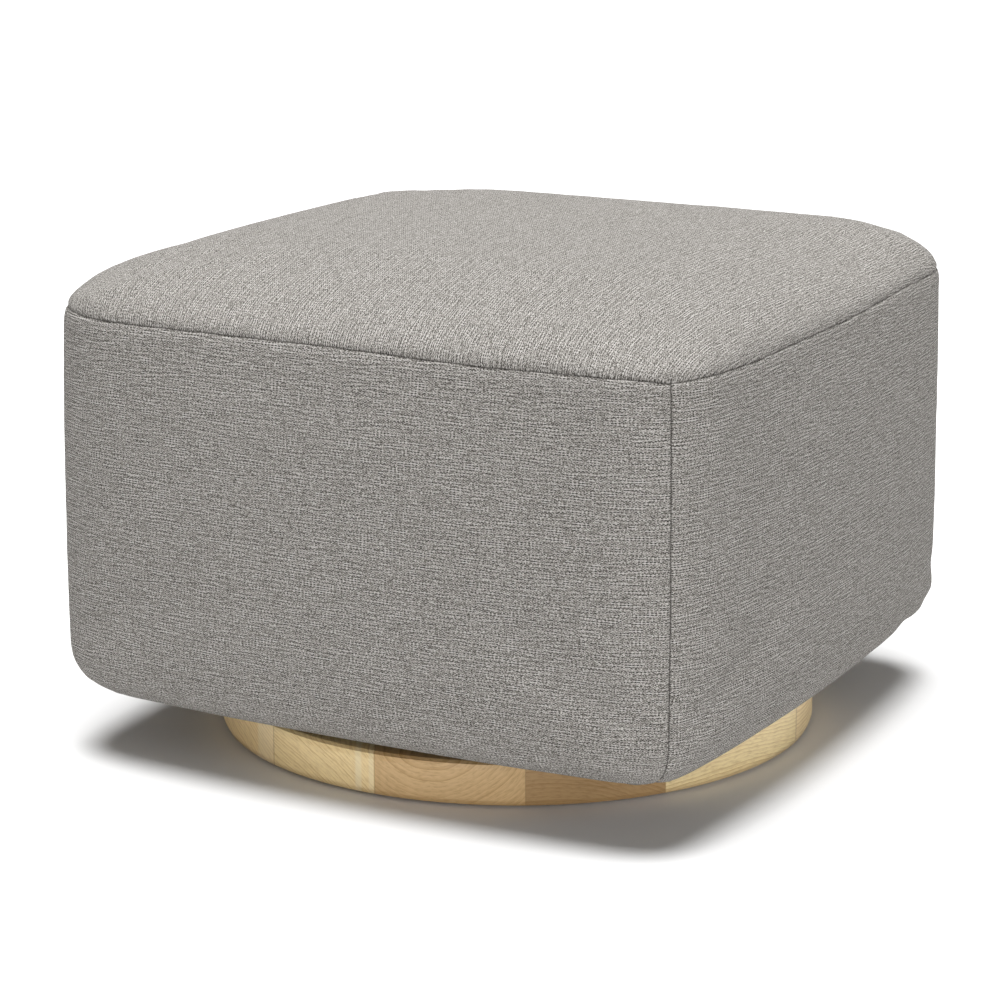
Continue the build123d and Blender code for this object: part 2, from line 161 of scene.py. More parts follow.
round_heart = sum_up(rings, "MULTIPLY", sum_up(rings, "ARCTAN2", spot.outputs[0], spot.outputs[2]), from_heart)
pore_place = put(rings, "ShaderNodeCombineXYZ", {0: from_heart,
                                                 1: sum_up(rings, "MULTIPLY", round_heart, pore_scale[0]),
                                                 2: sum_up(rings, "MULTIPLY", spot.outputs[1], pore_scale[1])})
pores = put(rings, "ShaderNodeTexNoise", {"Vector": pore_place.outputs[0], "Scale": 1000, "Detail": 2})
rings.links.new(ranged(rings, pores.outputs["Fac"], start=0.46, end=0.72), rings_out.inputs["Pores"])

stave_turn = radians(28)    # from the frame's X to the way across the staves
stave_apart = 0.7           # each stave is cut further along its tree than the one before
staves = (                  # start across the base, pale colour, heart of its tree (across, up), ring spacing
    (-0.2425, (0.98, 0.73, 0.37), (-0.33, -0.12), 0.0026),
    (-0.189, (0.98, 0.77, 0.41), (-0.31, -0.20), 0.0024),
    (-0.108, (0.70, 0.48, 0.235), (-0.065, 0.075), 0.0034),
    (0.006, (0.47, 0.30, 0.135), (0.02, -0.13), 0.0030),
    (0.112, (0.98, 0.80, 0.45), (0.15, -0.17), 0.0026),
    (0.221, (0.96, 0.76, 0.43), (0.25, 0.16), 0.0024))
late_tint = (0.66, 0.54, 0.40)          # late wood and pores, against the pale wood of the same stave
pore_tint = (0.62, 0.52, 0.40)
glue_half, glue_edge = 0.0002, 0.0007   # half the width of a glue line, and where it has faded out
glue_colour = (0.30, 0.17, 0.07)
pale_strips = (             # middle across the base, half width, and share of the strip's colour
    (-0.196, 0.006, 0.35), (-0.1205, 0.0016, 0.5), (-0.1105, 0.001, 0.4))
strip_colour = (0.96, 0.84, 0.58)
strip_fade = 0.0015
painted_shade_band = (0.0035, 0.0085)           # painted shade at the foot of the rim in the colour below, darkest at the bottom and fading out between these levels
painted_shade_colour = (0.42, 0.26, 0.11)
base_wood, tree, shader = new_material("base_wood", 0.42)
turned = put(tree, "ShaderNodeVectorRotate", {"Vector": object_place(tree), "Angle": -stave_turn},
             rotation_type="Z_AXIS").outputs[0]
split_place = put(tree, "ShaderNodeSeparateXYZ", {0: turned})
wide, high = split_place.outputs[0], split_place.outputs[2]
colour, glue_line = None, None
for index, (start, pale, (heart_x, heart_z), spacing) in enumerate(staves):
    shift = put(tree, "ShaderNodeVectorMath", {0: turned, 1: (-heart_x, stave_apart * index, -heart_z)})
    stave = put(tree, "ShaderNodeGroup", node_tree=rings)
    tree.links.new(shift.outputs[0], stave.inputs["Place"])
    stave.inputs["Spacing"].default_value = spacing
    late_colour = [part * tint for part, tint in zip(pale, late_tint)]
    pore_colour = [part * tint for part, tint in zip(pale, pore_tint)]
    ringed = ramp(tree, stave.outputs["Late wood"], (0.0, pale), (1.0, late_colour))
    flecked = blended(tree, sum_up(tree, "MULTIPLY", stave.outputs["Pores"], 0.5), ringed, pore_colour)
    if colour is None:
        colour = flecked
        continue
    past_joint = ranged(tree, wide, start=start - 0.00015, end=start + 0.00015)
    colour = blended(tree, past_joint, colour, flecked)
    off = sum_up(tree, "ABSOLUTE", sum_up(tree, "SUBTRACT", wide, start))
    line = ranged(tree, off, start=glue_half, end=glue_edge, low=1, high=0)
    glue_line = line if glue_line is None else sum_up(tree, "MAXIMUM", glue_line, line)
cloud = put(tree, "ShaderNodeTexNoise", {"Vector": turned, "Scale": 14, "Detail": 4}).outputs["Fac"]
cloud_tone = ranged(tree, cloud, start=0, end=1, low=0.88, high=1.12)
colour = put(tree, "ShaderNodeVectorMath", {0: colour, "Scale": cloud_tone}, operation="SCALE").outputs[0]
for middle, half, share in pale_strips:
    off = sum_up(tree, "ABSOLUTE", sum_up(tree, "SUBTRACT", wide, middle))
    strip = ranged(tree, off, start=half, end=half + strip_fade, low=share, high=0)
    colour = blended(tree, strip, colour, strip_colour)
colour = blended(tree, sum_up(tree, "MULTIPLY", glue_line, 0.4), colour, glue_colour)
# Painted shade: the rim is darkened towards its foot, next to the floor.
shaded_foot = ranged(tree, high, start=painted_shade_band[0], end=painted_shade_band[1], low=0.45, high=0)
tree.links.new(blended(tree, shaded_foot, colour, painted_shade_colour), shader.inputs["Base Color"])
shader.inputs["Coat Weight"].default_value = 0.15
shader.inputs["Coat Roughness"].default_value = 0.3
wood_bump = put(tree, "ShaderNodeBump", {"Height": cloud, "Strength": 0.12, "Distance": 0.001})
tree.links.new(wood_bump.outputs[0], shader.inputs["Normal"])
dress(base_wood, "base_disc")

# ---- Floor pads ----
# Four squares of pressed felt, stuck under the disc. They carry the whole load and keep the wood off the
# floor.
felt = mottled("felt", 1, 1400, 3, (0.3, (0.035, 0.033, 0.03)), (0.7, (0.11, 0.105, 0.1)))[0]
dress(felt, "floor_pads")

# ---- Glide: plate, uprights and links ----
# Pressed steel, black powder coat. The plate is let into the disc, the uprights are welded to it, and the
# four links hang from the uprights' pins.
coated_steel, tree, shader, peel = mottled("coated_steel", 0.48, 700, 2, (0.3, (0.018, 0.018, 0.02)),
                                           (0.7, (0.03, 0.03, 0.032)))
shader.inputs["Metallic"].default_value = 0.2
peel_bump = put(tree, "ShaderNodeBump", {"Height": peel, "Strength": 0.25, "Distance": 0.0004})
tree.links.new(peel_bump.outputs[0], shader.inputs["Normal"])
link_nodes = [f"{end}_{side}_link" for end in ("front", "rear") for side in ("left", "right")]
dress(coated_steel, "glide_plate", "left_upright", "right_upright", *link_nodes)

# ---- Glide: pins and screws ----
# Turned steel pins and hexagon-head screws, zinc plated. The pins are welded on, and the screws go into the
# wood of the disc and of the runners.
zinc, tree, shader, bloom = mottled("zinc_plate", 0.4, 260, 4, (0.3, (0.50, 0.50, 0.49)),
                                    (0.7, (0.68, 0.68, 0.66)))
shader.inputs["Metallic"].default_value = 1
tree.links.new(ranged(tree, bloom, start=0, end=1, low=0.28, high=0.5), shader.inputs["Roughness"])
dress(zinc, "upper_pivot_pins", "lower_pivot_pins", "base_screws", "rail_screws")

# ---- Glide: bushings ----
# Moulded nylon, natural white, pressed into the links' six-sided holes.
nylon, _, shader, _ = mottled("nylon", 0.4, 120, 2, (0.3, (0.66, 0.64, 0.57)), (0.7, (0.76, 0.74, 0.68)))
shader.inputs["Subsurface Weight"].default_value = 0.15
shader.inputs["Subsurface Scale"].default_value = 0.002
dress(nylon, *[name.replace("_link", "_bushings") for name in link_nodes])

# ---- Glide: seat rails and braces ----
# Two steel angles under the wooden runners, welded to two cross braces, in the black coat of the base side.
dress(coated_steel, "left_seat_rail", "right_seat_rail", "front_cross_brace", "rear_cross_brace")

# ---- Stop bumpers ----
# Moulded rubber blocks on the braces, which meet the uprights at the ends of the glide.
rubber = mottled("rubber", 0.75, 300, 3, (0.35, (0.012, 0.012, 0.012)), (0.75, (0.03, 0.03, 0.03)))[0]
dress(rubber, "stop_bumpers")

# ---- Wooden frame ----
# Sawn hardwood boards, corner blocks and runners with a plywood deck, glued and stapled. The covers hide all
# of it.
frame_wood, tree, shader = new_material("frame_wood", 0.8)
sawn = put(tree, "ShaderNodeGroup", node_tree=rings)
from_tree = put(tree, "ShaderNodeVectorMath", {0: object_place(tree), 1: (0.11, 0.0, 0.05)})
tree.links.new(from_tree.outputs[0], sawn.inputs["Place"])
sawn.inputs["Spacing"].default_value = 0.005
tree.links.new(ramp(tree, sawn.outputs["Late wood"], (0.0, (0.60, 0.44, 0.26)), (0.9, (0.42, 0.28, 0.14))),
               shader.inputs["Base Color"])
boards = [f"{side}_board" for side in ("front", "rear", "left", "right")]
dress(frame_wood, *boards, "corner_blocks", "left_runner", "right_runner")
plywood, tree, shader = new_material("plywood", 0.85)
layers = put(tree, "ShaderNodeTexWave",
             {"Vector": object_place(tree), "Scale": 110, "Distortion": 1.2, "Detail": 2}, bands_direction="Z")
tree.links.new(ramp(tree, layers.outputs["Fac"], (0.2, (0.62, 0.48, 0.30)), (0.8, (0.45, 0.31, 0.17))),
               shader.inputs["Base Color"])
dress(plywood, "deck")

# ---- Upholstered body ----
# Foam on the deck and the boards, under a sewn cover of grey melange weave: a domed top panel and four side
# panels, joined by plain seams. The cover is pulled down tight and stapled under the boards.
body_low = round(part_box("front_cover")[0].z, 4)     # underside of the body
body_high = 0.4064
board_face = round(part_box("rear_board")[1].y, 4)    # outer faces of the boards
deck_face = round(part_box("deck")[1].z, 4)           # upper face of the deck
dome_start = 0.3324         # level where the sides start to turn over
side_half = 0.2823          # half width at that level
side_taper = 0.0070         # wider than that at the bottom
side_swell = 0.0023
corner_round = 0.0672
side_bows = (0.0086, 0.0085, 0.0048)    # bow of the sides in plan, at the bottom, middle and dome start
bottom_roll = 0.0422
bottom_draw = 0.6           # how much of the drawing in under the body the corners' radius takes up
dome_powers = (2.64, 3.66)
dome_round = 0.9            # how fast the corners get rounder towards the middle of the dome
dome_rings = (0.002, 0.006, 0.012, 0.02, 0.035, 0.05, 0.08, 0.12, 0.18, 0.26, 0.36, 0.48, 0.62, 0.78, 0.9)
around = 12                 # points in half of the outline's side, and in a corner
least_bow = 0.00001
seam_level = 0.3514
seam_wander = (             # level of the top seam in mm at bearings round the body, in degrees from +X
    (-180, 352.5), (-136, 355), (-126, 352.8), (-109, 353), (-97, 353.2), (-86, 352.6), (-78, 351.4),
    (-66, 350.2), (-58, 350.8), (-50, 351), (-45, 348), (-40, 349.5), (-31, 347.8), (-13, 349.2), (7, 350),
    (26, 353.4), (38, 353.2), (45, 354), (60, 352.4), (90, 352), (120, 352.2), (135, 354), (150, 352.5),
    (180, 352.5))
fall_base = 2.718           # every smooth fall in this section is this number to a negative power
voxel = 0.006
slack = 0.0025              # the body starts this much smaller than it ends


def new_object(name, points, faces):
    """An object in the scene, with a mesh of these points and faces."""
    mesh = bpy.data.meshes.new(name)
    mesh.from_pydata(points, [], faces)
    made = bpy.data.objects.new(name, mesh)
    bpy.context.scene.collection.objects.link(made)
    return made


def dome_level(part):
    """Level of the dome at a part of the way from its middle to its edge."""
    return dome_start + (body_high - dome_start) * max(1 - part**dome_powers[0], 0) ** (1 / dome_powers[1])


def level_shape(level):
    """Half width, bow and corner radius of the body's outline at a level up to the dome's start."""
    rise = min(max((level - body_low - bottom_roll) / (dome_start - body_low - bottom_roll), 0), 1)
    half = side_half + side_taper * (1 - rise) + 4 * side_swell * rise * (1 - rise)
    rise = min(max((level - body_low) / (dome_start - body_low), 0), 1)
    low, middle, high = side_bows
    bow = low * (1 - rise) * (1 - 2 * rise) + 4 * middle * rise * (1 - rise) + high * rise * (2 * rise - 1)
    return half, max(bow, least_bow), corner_round


def outline_at(half, bow, corner):
    """One closed outline of the body in plan: bowed sides and round corners."""
    corner = min(corner, half - bow - 0.001)
    chord = half - bow - corner
    radius = (chord**2 + bow**2) / (2 * bow)
    reach = atan2(chord, radius - bow)
    side = [(half - corner - radius + (radius + corner) * cos(step), (radius + corner) * sin(step))
            for step in np.linspace(-reach, reach, 2 * around + 1)]
    side += [(half - corner - bow + corner * cos(step), chord + corner * sin(step))
             for step in np.linspace(reach, pi / 2 - reach, around + 1)[1:-1]]
    return [(out * cos(turn) - along * sin(turn), out * sin(turn) + along * cos(turn))
            for turn in (0, pi / 2, pi, 3 * pi / 2) for out, along in side]


levels = []                 # level, half width, bow and corner radius, from the underside to the top
for step in np.linspace(0, pi / 2, 10):
    level = body_low + bottom_roll * (1 - cos(step))
    drawn_in = bottom_roll * (1 - sin(step))
    half, bow, corner = level_shape(level)
    levels.append((level, half - drawn_in, bow, corner - bottom_draw * drawn_in))
for level in np.linspace(body_low + bottom_roll, dome_start, 14)[1:]:
    levels.append((level, *level_shape(level)))
for inward in dome_rings:
    part = 1 - inward
    rounder = 1 - fall_base ** (-dome_round * inward)
    corner = corner_round * (1 - rounder) + rounder * side_half * part
    bow = max(side_bows[2] * part * (1 - rounder), least_bow)
    levels.append((dome_level(part), side_half * part, bow, corner))
rows = [[(x, y, level) for x, y in outline_at(half, bow, corner)] for level, half, bow, corner in levels]
count = len(rows[0])
points = [point for row in rows for point in row] + [(0, 0, body_low), (0, 0, body_high)]
last = (len(rows) - 1) * count
pairs = [(index, (index + 1) % count) for index in range(count)]
faces = [(row + index, row + after, row + count + after, row + count + index)
         for row in range(0, last, count) for index, after in pairs]
for index, after in pairs:
    faces.append((after, index, len(points) - 2))
    faces.append((last + index, last + after, len(points) - 1))
stuffed = new_object("stuffed_body", points, faces)
bpy.context.view_layer.objects.active = stuffed
remesh = stuffed.modifiers.new("remesh", "REMESH")
remesh.mode = "VOXEL"
remesh.voxel_size = voxel
bpy.ops.object.modifier_apply(modifier="remesh")
body_mesh = stuffed.data


def seam_shift(x, y):
    """How far the top seam is below its level at a place."""
    level = np.interp(atan2(y, x) * 180 / pi, *zip(*seam_wander)) / 1000
    waver = noise.noise(Vector((x * 45, y * 45, 3.1))) * 0.0005
    return seam_level - level + waver


def corner_shift(level):
    """The small waver of an upright seam at a level."""
    return noise.noise(Vector((7.7, 1.3, level * 40))) * 0.0006


def off_top_seam(x, y, z):
    """How far a place is above or below the top seam."""
    return abs(z - seam_level + seam_shift(x, y))


def off_corner_seams(x, y, z):
    """How far a place is from the nearest upright seam in plan, and out of reach above these seams."""
    return min(abs(x - y), abs(x + y)) / 2**0.5 if z < seam_level else 1


def fade(distance, width):
    """1 at no distance, and smoothly down to nothing over a few widths."""
    return fall_base ** -((distance / width) ** 2)


# The stuffed body is blown up against its own seams, which stay where they are, and the movement is capped.
held_width = 0.009          # cloth within this of a seam is held, and less so the further it is off
held_low = body_low + 0.004
puff_frames = 20
cap = 1.6                   # how far a point may move, against the typical movement
start = np.empty(len(body_mesh.vertices) * 3, dtype=np.float32)
body_mesh.vertices.foreach_get("co", start)
outward = np.array([vertex.normal for vertex in body_mesh.vertices])
start = start.reshape(-1, 3) - outward * slack
body_mesh.vertices.foreach_set("co", start.astype(np.float32).ravel())
body_mesh.update()
held = stuffed.vertex_groups.new(name="held")
for index, (x, y, z) in enumerate(start):
    near = min(off_top_seam(x, y, z), off_corner_seams(x, y, z))
    weight = 1.0 if z < held_low else max(0.0, 1 - near / held_width)
    if weight > 0:
        held.add([index], weight, "REPLACE")
cloth = stuffed.modifiers.new("cloth", "CLOTH")
cloth.settings.quality = 5
cloth.settings.mass = 0.3
cloth.settings.tension_stiffness = 12
cloth.settings.compression_stiffness = 12
cloth.settings.shear_stiffness = 4
cloth.settings.bending_stiffness = 0.4
cloth.settings.use_pressure = True
cloth.settings.uniform_pressure_force = 4
cloth.settings.vertex_group_mass = "held"
cloth.settings.effector_weights.gravity = 0
cloth.point_cache.frame_start = 1
cloth.point_cache.frame_end = puff_frames
for now in range(1, puff_frames + 1):
    bpy.context.scene.frame_set(now)
puffed = stuffed.evaluated_get(bpy.context.evaluated_depsgraph_get())
moved = np.empty(start.size, dtype=np.float32)
puffed.data.vertices.foreach_get("co", moved)
moved = moved.reshape(-1, 3) - start
far = np.linalg.norm(moved, axis=1)
typical = np.percentile(far, 60)
moved *= np.minimum(1, cap * typical / np.maximum(far, 1e-9))[:, None] * (slack / typical)
stuffed.modifiers.remove(cloth)
bpy.context.scene.frame_set(1)
body_mesh.vertices.foreach_set("co", (start + moved).astype(np.float32).ravel())
body_mesh.update()
finer = stuffed.modifiers.new("finer", "SUBSURF")
finer.levels = finer.render_levels = 1
bpy.ops.object.modifier_apply(modifier="finer")

# The seams are cut into the mesh with rows of edges beside them, then drawn in as grooves with puffed
# shoulders.
seam_rows = (-0.007, -0.004, -0.002, -0.0009, 0.0, 0.0009, 0.002, 0.004, 0.007)
seam_reach = 0.02           # faces this near to a seam are cut
hem_edge = 0.2315
hem_corner = 0.292          # the hem's distance from the middle at the corners
groove, groove_width = 0.0011, 0.0011
shoulder, shoulder_off, shoulder_width = 0.0005, 0.008, 0.005
puckers = 70                # gathers along the seams, per metre
form = bmesh.new()
form.from_mesh(stuffed.data)


def cut(faces, place, normal):
    """Cut these faces of the form with a plane."""
    edges = {edge for face in faces for edge in face.edges}
    corners = {vertex for face in faces for vertex in face.verts}
    bmesh.ops.bisect_plane(form, geom=faces + list(edges) + list(corners), plane_co=place, plane_no=normal,
                           dist=0.0002)


for vertex in form.verts:
    vertex.co.z += seam_shift(vertex.co.x, vertex.co.y)
for row in seam_rows:
    near = [face for face in form.faces if abs(face.calc_center_median().z - seam_level) < seam_reach]
    cut(near, (0, 0, seam_level + row), (0, 0, 1))
for vertex in form.verts:
    vertex.co.z -= seam_shift(vertex.co.x, vertex.co.y)
for vertex in form.verts:
    vertex.co.x += corner_shift(vertex.co.z)
for row in seam_rows:
    for normal in (Vector((1, 1, 0)).normalized(), Vector((1, -1, 0)).normalized()):
        middles = [(face, face.calc_center_median()) for face in form.faces]
        near = [face for face, middle in middles
                if middle.z < seam_level + 0.006 and abs(middle.dot(normal)) < seam_reach]
        cut(near, normal * row, normal)
for vertex in form.verts:
    vertex.co.x -= corner_shift(vertex.co.z)
hem_cuts = [(Vector((cos(eighth * pi / 4), sin(eighth * pi / 4), 0)), hem_corner if eighth % 2 else hem_edge)
            for eighth in (0, 2, 4, 6, 1, 3, 5, 7)]
for normal, off in hem_cuts:
    cut([face for face in form.faces if face.calc_center_median().z < held_low], normal * off, normal)
middles = [(face, face.calc_center_median()) for face in form.faces]
inner = [face for face, middle in middles
         if middle.z < held_low and all(middle.dot(normal) < off for normal, off in hem_cuts)]
bmesh.ops.delete(form, geom=inner, context="FACES")
form.normal_update()

# The left edge and the rear right corner of the dome are stuffed a little fuller than the rest.
full_rise = 0.02            # height over which this sets in above the seam
full_edge, full_edge_x, full_edge_width = 0.0045, -0.24, 0.06
full_corner, full_corner_place, full_corner_width = 0.0085, (0.225, 0.235), 0.085
for vertex in form.verts:
    x, y, z = vertex.co
    if z > seam_level:
        fuller = full_edge * fade(x - full_edge_x, full_edge_width)
        off_place = hypot(x - full_corner_place[0], y - full_corner_place[1])
        fuller += full_corner * fade(off_place, full_corner_width)
        vertex.co.z += fuller * min((z - seam_level) / full_rise, 1)
    near = min(off_top_seam(x, y, z), off_corner_seams(x + corner_shift(z), y, z))
    if near < 0.03:
        gather = noise.noise(Vector((x * puckers, y * puckers, z * puckers)))
        depth = groove * (1 + 0.35 * gather) * fade(near, groove_width)
        puff = shoulder * (1 + 0.5 * gather) * fade(near - shoulder_off, shoulder_width)
        vertex.co += vertex.normal * (puff - depth)

# How far a point of the top panel lies along the cloth from where it would be on a flat top.
arc_levels, arc_extra = [body_high], [0.0]
run, last_point = 0.0, (0.0, body_high)
for part in np.linspace(0.02, 1, 120):
    level = dome_level(part)
    run += hypot(side_half * part - last_point[0], level - last_point[1])
    last_point = (side_half * part, level)
    arc_levels.insert(0, level)
    arc_extra.insert(0, run - side_half * part)


def panel_of(face):
    """Which panel a face belongs to."""
    x, y, z = face.calc_center_median()
    if z + seam_shift(x, y) > seam_level:
        return "top"
    plan = x + corner_shift(z)
    if abs(y) > abs(plan):
        return "front" if y < 0 else "rear"
    return "left" if plan < 0 else "right"


def weave_place(panel, point):
    """Where a point of a panel lies on the flat cloth: along the slubs, and across them."""
    x, y, z = point
    if panel == "top":
        extra = np.interp(z, arc_levels, arc_extra)
        share = abs(y) ** 6 / (abs(x) ** 6 + abs(y) ** 6 + 1e-12)
        return y + extra * share * (1 if y > 0 else -1), x + extra * (1 - share) * (1 if x > 0 else -1)
    turn = ("front", "right", "rear", "left").index(panel)
    for _ in range(turn):
        x, y = y, -x
    half, bow, corner = level_shape(z)
    chord = half - bow - corner
    along = x
    if abs(x) > chord:
        along = (chord + corner * atan2(abs(x) - chord, max(-y - chord, 1e-6))) * (1 if x > 0 else -1)
    up = z
    drop = body_low + bottom_roll - z
    if drop > 0:
        turned = min(drop / bottom_roll, 1)
        up = body_low + bottom_roll - bottom_roll * atan2(turned, (1 - turned**2) ** 0.5)
        if drop > 0.97 * bottom_roll:
            up -= max(half - bottom_roll + y, 0)
    return along + 0.9 * turn, up


# The weave: a plain one of mixed yarn, with the tone of the thread that lies on top at each crossing.
weft_pitch, warp_pitch = 0.00085, 0.00146
weft_run, warp_run = 8.0, 5.0           # crossings that a yarn keeps its tone for
thread_bend = 0.0005                    # how far the threads wander from straight
slub_run = 0.086
fibres = 2000                           # per metre
weave, weave_in, weave_out = new_group(
    "melange_weave", "ShaderNodeTree", {"Place": "Vector", "Weft pitch": "Float", "Warp pitch": "Float"},
    {"Tone": "Float", "Height": "Float"})
wave = put(weave, "ShaderNodeTexNoise", {"Vector": weave_in.outputs["Place"], "Scale": 55, "Detail": 2})
wave = put(weave, "ShaderNodeVectorMath", {0: wave.outputs["Color"], 1: (0.5, 0.5, 0.5)}, operation="SUBTRACT")
wave = put(weave, "ShaderNodeVectorMath", {0: wave.outputs[0], "Scale": thread_bend}, operation="SCALE")
bent = put(weave, "ShaderNodeVectorMath", {0: weave_in.outputs["Place"], 1: wave.outputs[0]}).outputs[0]
threads = put(weave, "ShaderNodeSeparateXYZ", {0: bent})
over_warps = sum_up(weave, "DIVIDE", threads.outputs[0], weave_in.outputs["Warp pitch"])
over_wefts = sum_up(weave, "DIVIDE", threads.outputs[1], weave_in.outputs["Weft pitch"])
warp_number = sum_up(weave, "FLOOR", over_warps)
weft_number = sum_up(weave, "FLOOR", over_wefts)


def random_tone(cell):
    """One random value about zero for each cell of a vector."""
    value = put(weave, "ShaderNodeTexWhiteNoise", {"Vector": cell}, noise_dimensions="2D")
    return sum_up(weave, "SUBTRACT", value.outputs["Value"], 0.5)


def yarn_tone(way, number, length):
    """The tone of mixed yarn in stretches along each thread, set off against the threads on both sides."""
    tone = None
    for beside, share in ((0, 1.0), (1, -0.5), (-1, -0.5)):
        thread = sum_up(weave, "ADD", number, beside)
        stretch = sum_up(weave, "MULTIPLY_ADD", thread, 0.381, sum_up(weave, "DIVIDE", way, length))
        cell = put(weave, "ShaderNodeCombineXYZ", {0: sum_up(weave, "FLOOR", stretch), 1: thread})
        value = sum_up(weave, "MULTIPLY", random_tone(cell.outputs[0]), share)
        tone = value if tone is None else sum_up(weave, "ADD", tone, value)
    return tone


slub = put(weave, "ShaderNodeCombineXYZ", {0: sum_up(weave, "MULTIPLY", over_warps, slub_run),
                                           1: sum_up(weave, "MULTIPLY", weft_number, 3.71)})
slub = put(weave, "ShaderNodeTexNoise", {"Vector": slub.outputs[0], "Scale": 1, "Detail": 2, "Roughness": 0.5},
           noise_dimensions="2D").outputs["Fac"]
slub = ranged(weave, slub, start=0.56, end=0.72)
weft_tone = sum_up(weave, "MULTIPLY_ADD", yarn_tone(over_warps, weft_number, weft_run), 0.92, 0.34)
weft_tone = sum_up(weave, "MULTIPLY_ADD", slub, -0.2, weft_tone)
warp_tone = sum_up(weave, "MULTIPLY_ADD", yarn_tone(over_wefts, warp_number, warp_run), 0.24, 0.74)
over_under = sum_up(weave, "MULTIPLY", sum_up(weave, "ADD", weft_number, warp_number), pi)
weft_seen = sum_up(weave, "MULTIPLY_ADD", sum_up(weave, "COSINE", over_under), 0.37, 0.63)
crossing = put(weave, "ShaderNodeMix", {"Factor": weft_seen, "A": warp_tone, "B": weft_tone}).outputs["Result"]
fibre = put(weave, "ShaderNodeVectorMath", {0: bent, "Scale": fibres}, operation="SCALE").outputs[0]
fibre = put(weave, "ShaderNodeVectorMath", {0: fibre}, operation="FLOOR").outputs[0]
tone = sum_up(weave, "MULTIPLY_ADD", random_tone(fibre), 0.9, crossing, clamp=True)
weave.links.new(tone, weave_out.inputs["Tone"])
bellies = [sum_up(weave, "SINE", sum_up(weave, "MULTIPLY", sum_up(weave, "FRACT", way), pi))
           for way in (over_warps, over_wefts)]
height = sum_up(weave, "MULTIPLY_ADD", tone, 0.5, sum_up(weave, "MULTIPLY", *bellies))
weave.links.new(height, weave_out.inputs["Height"])

melange, tree, shader = new_material("grey_melange", 0.95)
cloth_place = put(tree, "ShaderNodeUVMap", uv_map="weave").outputs[0]
woven = put(tree, "ShaderNodeGroup", node_tree=weave)
tree.links.new(cloth_place, woven.inputs["Place"])
woven.inputs["Weft pitch"].default_value = weft_pitch
woven.inputs["Warp pitch"].default_value = warp_pitch
cloth_colour = ramp(tree, woven.outputs["Tone"], (0.0, (0.037, 0.034, 0.029)), (0.5, (0.219, 0.206, 0.188)),
                    (1.0, (0.527, 0.508, 0.484)))
# Painted shade: the seam mask darkens the cloth to near black in a thin line along each seam, where its
# crevice is.
seam_shade_fac = put(tree, "ShaderNodeAttribute", attribute_name="seam").outputs["Fac"]
shaded = blended(tree, sum_up(tree, "MULTIPLY", seam_shade_fac, 0.75), cloth_colour, (0.03, 0.027, 0.023))
tree.links.new(shaded, shader.inputs["Base Color"])
shader.inputs["Specular IOR Level"].default_value = 0.1
cloth_bump = put(tree, "ShaderNodeBump",
                 {"Height": woven.outputs["Height"], "Strength": 0.25, "Distance": 0.0004})
tree.links.new(cloth_bump.outputs[0], shader.inputs["Normal"])

# Each panel takes its own faces, and is closed behind, where its foam meets the deck or a board.
seam_shade_half = 0.0007          # half the width of the painted shade line along a seam, standing for the shade in its crevice
flat_seam_shade, flat_from_x = 0.55, 0.27     # the right side's top seam lies flatter, so it gets less painted shade and is paler
turned_in = 1 - 0.004 / 0.28            # the panels' edges turn in 4 mm at the seams, and part a little there
seam_parting = 0.0006
hem_fold = 0.002
foam_share = 0.86           # where the top's foam ends on the deck, against the seam
foam_low, foam_high = 0.0468, 0.318
by_panel = {panel: [] for panel in ("front", "right", "rear", "left", "top")}
for face in form.faces:
    by_panel[panel_of(face)].append(face)


def turn_in(panel, x, y, z):
    """Where a point of a panel's edge goes when the cloth turns in at a seam or at the hem."""
    if panel != "top" and z < body_low + 0.003:
        return x, y, z + hem_fold
    if panel == "top":
        return x * turned_in, y * turned_in, z + seam_parting
    return x * turned_in, y * turned_in, z - (seam_parting if z > seam_level - 0.01 else 0)


def back_of(panel, x, y, z):
    """Where a point of a panel's turned-in edge goes at the back of the foam."""
    if panel == "top":
        return x * foam_share, y * foam_share, deck_face
    z = min(max(z, foam_low), foam_high)
    if panel in ("front", "rear"):
        return max(-board_face, min(board_face, x)), board_face * (-1 if panel == "front" else 1), z
    return board_face * (-1 if panel == "left" else 1), max(-board_face, min(board_face, y)), z


for panel, faces in by_panel.items():
    index_of, panel_points, panel_faces = {}, [], []
    for face in faces:
        for vertex in face.verts:
            if vertex.index not in index_of:
                index_of[vertex.index] = len(panel_points)
                panel_points.append(vertex.co.copy())
        panel_faces.append([index_of[vertex.index] for vertex in face.verts])
    cushion = new_object(f"{panel}_panel", panel_points, panel_faces)
    piece = bmesh.new()
    piece.from_mesh(cushion.data)
    flat = piece.loops.layers.uv.new("weave")
    # The seam mask carries the painted shade of the seams' crevices.
    seam_shade_mask = piece.verts.layers.float.new("seam")
    for vertex in piece.verts:
        x, y, z = vertex.co
        off_top, off_corner = off_top_seam(x, y, z), off_corner_seams(x + corner_shift(z), y, z)
        tight = flat_seam_shade if off_top < off_corner and x > flat_from_x else 1.0
        vertex[seam_shade_mask] = tight * max(0.0, 1 - min(off_top, off_corner) / seam_shade_half)
    for face in piece.faces:
        face.smooth = True
        for loop in face.loops:
            loop[flat].uv = weave_place(panel, loop.vert.co)
    for move in (turn_in, back_of):
        rim = [edge for edge in piece.edges if edge.is_boundary]
        folded = bmesh.ops.extrude_edge_only(piece, edges=rim)["geom"]
        for vertex in [part for part in folded if isinstance(part, bmesh.types.BMVert)]:
            vertex.co = move(panel, *vertex.co)
    bmesh.ops.edgeloop_fill(piece, edges=[edge for edge in piece.edges if edge.is_boundary])
    bmesh.ops.recalc_face_normals(piece, faces=piece.faces)
    piece.to_mesh(cushion.data)
    piece.free()
    cushion.data.materials.append(melange)
    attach(cushion, "seat")
    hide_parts(f"{panel}_cover", f"{panel}_foam")
form.free()
bpy.data.objects.remove(stuffed)

